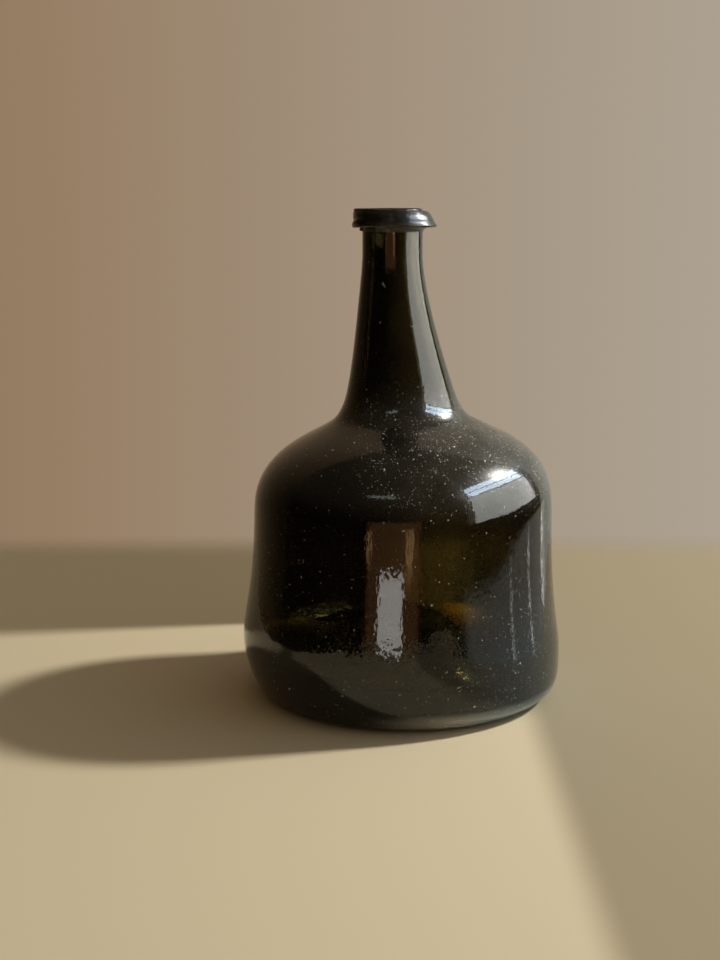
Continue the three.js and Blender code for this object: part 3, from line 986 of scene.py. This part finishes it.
def make_floor():
    """The sheet of paper."""
    width = FLOOR_RIGHT + FLOOR_BACK * FLOOR_SPREAD - FLOOR_LEFT
    depth = FLOOR_BACK - FLOOR_FRONT
    bpy.ops.mesh.primitive_plane_add(size=1, location=(FLOOR_LEFT + width / 2, FLOOR_FRONT + depth / 2, 0))
    floor = bpy.context.object
    floor.scale = (width, depth, 1)
    bpy.ops.object.transform_apply(location=True, scale=True)
    floor.name = "floor"
    floor.data.materials.append(floor_material())


# The backdrop as the bottle sees it: its height and its reach to the left and right, over its distance
BACKDROP_TALL = 2.1
BACKDROP_LEFT = 5.7
BACKDROP_RIGHT = 1.28
# Its soft edges there, from outside to inside
BACKDROP_TOP_EDGE = (-0.03, 0.06)
BACKDROP_LEFT_EDGE = (-0.05, 0.1)
BACKDROP_RIGHT_EDGE = (-0.02, 0.04)
# Its colours from left to right, each with the X of its direction
BACKDROP_COLOURS = (
    (-0.95, "382d1c"), (-0.7, "645540"), (-0.2, "977f65"), (0.25, "ada292"), (0.6, "c4c6bc"),
)
# How bright it is for the floor, and for the glass that lets it through, from one X of direction to another
BACKDROP_ON_FLOOR = 0.69
BACKDROP_THROUGH = (0.25, 0.5, 0.45, 2)
# The room that the glass reflects: its colours below and above, and the Z of direction where they meet
ROOM_LOW = "1a1510"
ROOM_HIGH = "524a3c"
ROOM_RISE = (0.1, 0.7)


def make_world():
    """A backdrop close behind the bottle, brighter to the right, and a dim room for it to reflect."""
    world = bpy.data.worlds.new("studio")
    bpy.context.scene.world = world
    world.use_nodes = True
    tree = world.node_tree
    tree.nodes.clear()
    heading = add_node(tree, "ShaderNodeTexCoord").outputs["Generated"]
    x, y, z = add_node(tree, "ShaderNodeSeparateXYZ", None, {"Vector": heading}).outputs
    across = add_node(tree, "ShaderNodeMapRange", None, {"Value": x, "From Min": -1, "From Max": 1})
    sweep = add_node(tree, "ShaderNodeValToRGB", None, {"Fac": across.outputs["Result"]})
    stops = sweep.color_ramp.elements
    for i, (place, colour) in enumerate(BACKDROP_COLOURS):
        stop = stops[i] if i < 2 else stops.new(1)
        stop.position = (place + 1) / 2
        stop.color = srgb(colour)
    top = combine(tree, "SUBTRACT", combine(tree, "MULTIPLY", y, BACKDROP_TALL), z)
    left = combine(tree, "ADD", combine(tree, "MULTIPLY", y, BACKDROP_LEFT), x)
    right = combine(tree, "SUBTRACT", combine(tree, "MULTIPLY", y, BACKDROP_RIGHT), x)
    behind = combine(tree, "MULTIPLY", fade_between(tree, top, *BACKDROP_TOP_EDGE),
                     fade_between(tree, left, *BACKDROP_LEFT_EDGE),
                     fade_between(tree, right, *BACKDROP_RIGHT_EDGE))
    ceiling = add_node(tree, "ShaderNodeMix", {"data_type": "RGBA"}, {
        "Factor": fade_between(tree, z, *ROOM_RISE), 6: srgb(ROOM_LOW), 7: srgb(ROOM_HIGH),
    })
    room = add_node(tree, "ShaderNodeMix", {"data_type": "RGBA"}, {
        "Factor": behind, 6: ceiling.outputs[2], 7: sweep.outputs["Color"],
    })
    path = add_node(tree, "ShaderNodeLightPath")
    seen = add_node(tree, "ShaderNodeMix", {"data_type": "RGBA"}, {
        "Factor": path.outputs["Is Glossy Ray"], 6: sweep.outputs["Color"], 7: room.outputs[2],
    })
    through = fade_between(tree, x, *BACKDROP_THROUGH)
    strength = combine(tree, "ADD", 1,
                       combine(tree, "MULTIPLY", path.outputs["Is Diffuse Ray"], BACKDROP_ON_FLOOR - 1),
                       combine(tree, "MULTIPLY", path.outputs["Is Transmission Ray"],
                               combine(tree, "SUBTRACT", through, 1)))
    light = add_node(tree, "ShaderNodeBackground", None, {"Color": seen.outputs[2], "Strength": strength})
    add_node(tree, "ShaderNodeOutputWorld", None, {"Surface": light.outputs["Background"]})


def heading_to(azimuth, elevation):
    """A direction from the bottle. Azimuth 0 points at the camera and 90 to the right."""
    a, e = math.radians(azimuth), math.radians(elevation)
    return Vector((math.sin(a) * math.cos(e), -math.cos(a) * math.cos(e), math.sin(e)))


def add_softbox(name, middle, facing, width, height, radiance, colour, lights_room=False):
    """A rectangular light at a place, its back towards a direction. Most are there for the glass alone."""
    bpy.ops.object.light_add(type="AREA", location=middle)
    lamp = bpy.context.object
    lamp.name = name
    lamp.rotation_euler = facing.to_track_quat("Z", "Y").to_euler()
    lamp.data.shape = "RECTANGLE"
    lamp.data.size, lamp.data.size_y = width, height
    lamp.data.energy = radiance * math.pi * width * height
    lamp.data.color = srgb(colour)[:3]
    lamp.visible_camera = False
    lamp.visible_diffuse = lights_room


def add_sheet(name, middle, facing, width, height, seen_by):
    """A flat sheet at a place, square to a direction, that only one kind of ray sees."""
    bpy.ops.mesh.primitive_plane_add(size=1, location=middle)
    sheet = bpy.context.object
    sheet.name = name
    sheet.rotation_euler = facing.to_track_quat("Z", "Y").to_euler()
    sheet.scale = (width, height, 1)
    for kind in ("camera", "diffuse", "glossy", "transmission", "shadow"):
        setattr(sheet, "visible_" + kind, kind == seen_by)
    return sheet


def soft_edges(tree, soft):
    """1 over the middle of a sheet and 0 at its edges. Soft is the share of each edge, across and up."""
    parts = add_node(tree, "ShaderNodeSeparateXYZ", None,
                     {"Vector": add_node(tree, "ShaderNodeTexCoord").outputs["UV"]})
    edges = [fade_between(tree, parts.outputs[axis], edge, inner)
             for axis in (0, 1) for edge, inner in ((0, soft[axis]), (1, 1 - soft[axis]))]
    return combine(tree, "MULTIPLY", *edges)


def add_glow(name, middle, facing, width, height, radiance, colour, soft, seen_by="glossy"):
    """A sheet of light with soft edges, for the glass to reflect or let through."""
    material = new_material("light_of_" + name)
    tree = material.node_tree
    light = combine(tree, "MULTIPLY", soft_edges(tree, soft), radiance)
    glow = add_node(tree, "ShaderNodeEmission", None, {"Color": srgb(colour), "Strength": light})
    clear = add_node(tree, "ShaderNodeBsdfTransparent")
    both = add_node(tree, "ShaderNodeAddShader", None, {0: glow.outputs[0], 1: clear.outputs[0]})
    add_node(tree, "ShaderNodeOutputMaterial", None, {"Surface": both.outputs[0]})
    add_sheet(name, middle, facing, width, height, seen_by).data.materials.append(material)


def add_gauze(name, middle, facing, width, height, colour, soft, seen_by="shadow"):
    """A gauze with soft edges, which holds light off the floor, or is painted shade in what the glass lets
    through.
    """
    material = new_material("gauze_of_" + name)
    tree = material.node_tree
    lets_by = add_node(tree, "ShaderNodeMix", {"data_type": "RGBA"}, {
        "Factor": soft_edges(tree, soft), 6: srgb("ffffff"), 7: srgb(colour),
    })
    gauze = add_node(tree, "ShaderNodeBsdfTransparent", None, {"Color": lets_by.outputs[2]})
    add_node(tree, "ShaderNodeOutputMaterial", None, {"Surface": gauze.outputs[0]})
    add_sheet(name, middle, facing, width, height, seen_by).data.materials.append(material)


def round_the_bottle(azimuth, elevation, distance):
    """A place round the middle of the bottle, and the direction to it."""
    away = heading_to(azimuth, elevation)
    return Vector((0, 0, HEIGHT / 2)) + away * distance, away


# The wall of light at the right: an upright plane, square to an azimuth and a distance away from the bottle
WINDOW_AZIMUTH = 73
WINDOW_DISTANCE = 1.2
# Its panels: where each starts and ends along the wall, its foot and head, its radiance and its colour
WINDOW_PANELS = (
    ("window_blind", (-0.44, 1.2, 0.15, 0.8), 3.7, "f0f2ee"),
    ("window_pane_low", (-0.44, 1.2, 0.83, 1.0), 11, "cfe2f8"),
    ("window_pane_high", (-0.44, 1.2, 1.03, 1.25), 11, "cfe2f8"),
    ("window_reveal", (-0.58, -0.45, 0.15, 1.25), 0.55, "c9c0b0"),
)
# The soft sheets below it, told the same way and with their soft edges
LOW_SHEETS = (
    ("low_card", (-0.75, 2.3, -0.66, -0.06), 0.66, "d6d2c8", (0.07, 0.07)),
    ("low_strip", (0.22, 0.26, -0.5, -0.04), 4, "e6e6e2", (0.35, 0.35)),
    ("low_strip", (0.755, 0.805, -0.5, -0.04), 4, "e6e6e2", (0.35, 0.35)),
    ("low_strip", (1.655, 1.745, -0.5, -0.04), 4, "e6e6e2", (0.35, 0.35)),
)
# The key: its azimuth, elevation and distance, its width, its radiance and its colour
KEY_SEAT = (104, 39, 1.4)
KEY_WIDTH = 0.12
KEY_RADIANCE = 500
KEY_COLOUR = "fffcf4"
# The sheets in front: azimuth, elevation and distance, width and height, radiance, colour and soft edges
FRONT_SHEETS = (
    ("front_strip", (-9.5, -7.4, 1.6), (0.52, 0.225), 3.9, "f0efea", (0.08, 0.08)),
    ("board", (-8, 0, 1.7), (1.3, 0.72), 0.38, "ffb676", (0.12, 0.12)),
    ("board_edge_left", (-26, -0.2, 1.62), (0.13, 0.21), 1.5, "ffc58e", (0.3, 0.3)),
    ("board_edge_right", (3.5, -0.2, 1.62), (0.2, 0.32), 1.7, "ffc58e", (0.35, 0.35)),
    ("top_strip", (-22, 42.5, 1.6), (0.7, 0.16), 1.4, "e4efe6", (0.25, 0.25)),
)


def window_panel(start, end, low, high):
    """The middle, direction, width and height of a panel in the wall of light."""
    away = heading_to(WINDOW_AZIMUTH, 0)
    along = heading_to(WINDOW_AZIMUTH + 90, 0)
    middle = away * WINDOW_DISTANCE + along * (start + end) / 2 + Vector((0, 0, (low + high) / 2))
    return middle, away, end - start, high - low


def light_from_right():
    """A window with a blind, low pale sheets that show in the foot, and the key that throws the shadow."""
    for name, panel, radiance, colour in WINDOW_PANELS:
        add_softbox(name, *window_panel(*panel), radiance, colour)
    for name, panel, radiance, colour, soft in LOW_SHEETS:
        add_glow(name, *window_panel(*panel), radiance, colour, soft)
    add_softbox("key", *round_the_bottle(*KEY_SEAT), KEY_WIDTH, KEY_WIDTH, KEY_RADIANCE, KEY_COLOUR,
                lights_room=True)


def light_from_front():
    """The bright strip on the front wall with its warm frame, and the pale strip along the shoulder."""
    for name, seat, size, radiance, colour, soft in FRONT_SHEETS:
        add_glow(name, *round_the_bottle(*seat), *size, radiance, colour, soft)


def shade_floor():
    """Gauzes that hold the key off the floor. One lies over its right, one stands behind the bottle."""
    add_gauze("right_flag", Vector((0.174, -0.02, 0.0035)), Vector((-0.025, 0, 1)), 0.8, 0.26,
              "a8a9a8", (0.02, 0.06))
    add_gauze("back_flag", Vector((-0.05, 0.2, 0.25)), heading_to(KEY_SEAT[0], 0), 0.21, 0.5,
              "55524a", (0.03, 0.03))


def back_the_glass():
    """What shows only through the glass: a dark card that is painted shade over the left of what it lets
    through, and at the right light gathered on the floor.
    """
    # Painted shade: a dark sheet seen only through the glass, darkening the left of what it shows
    add_gauze("painted_shade_card", Vector((-0.034, 0.0675, 0.0875)), Vector((0, 1, 0)), 0.128, 0.255,
              "3a342c", (0.32, 0.12), "transmission")
    add_glow("caustic", Vector((0.035, 0.08, 0.0005)), Vector((0, 0, 1)), 0.03, 0.08,
             3.8, "ffb840", (0.5, 0.4), "transmission")


make_floor()
make_world()
light_from_right()
light_from_front()
shade_floor()
back_the_glass()
bpy.context.scene.view_settings.view_transform = "Standard"

bottle_body = make_body()
string_rim = make_rim()
pontil_scar = make_scar()
dress(bottle_body, blown_glass(), "bottle_body")
dress(string_rim, trailed_glass(), "string_rim")
dress(pontil_scar, snapped_glass(), "pontil_scar")
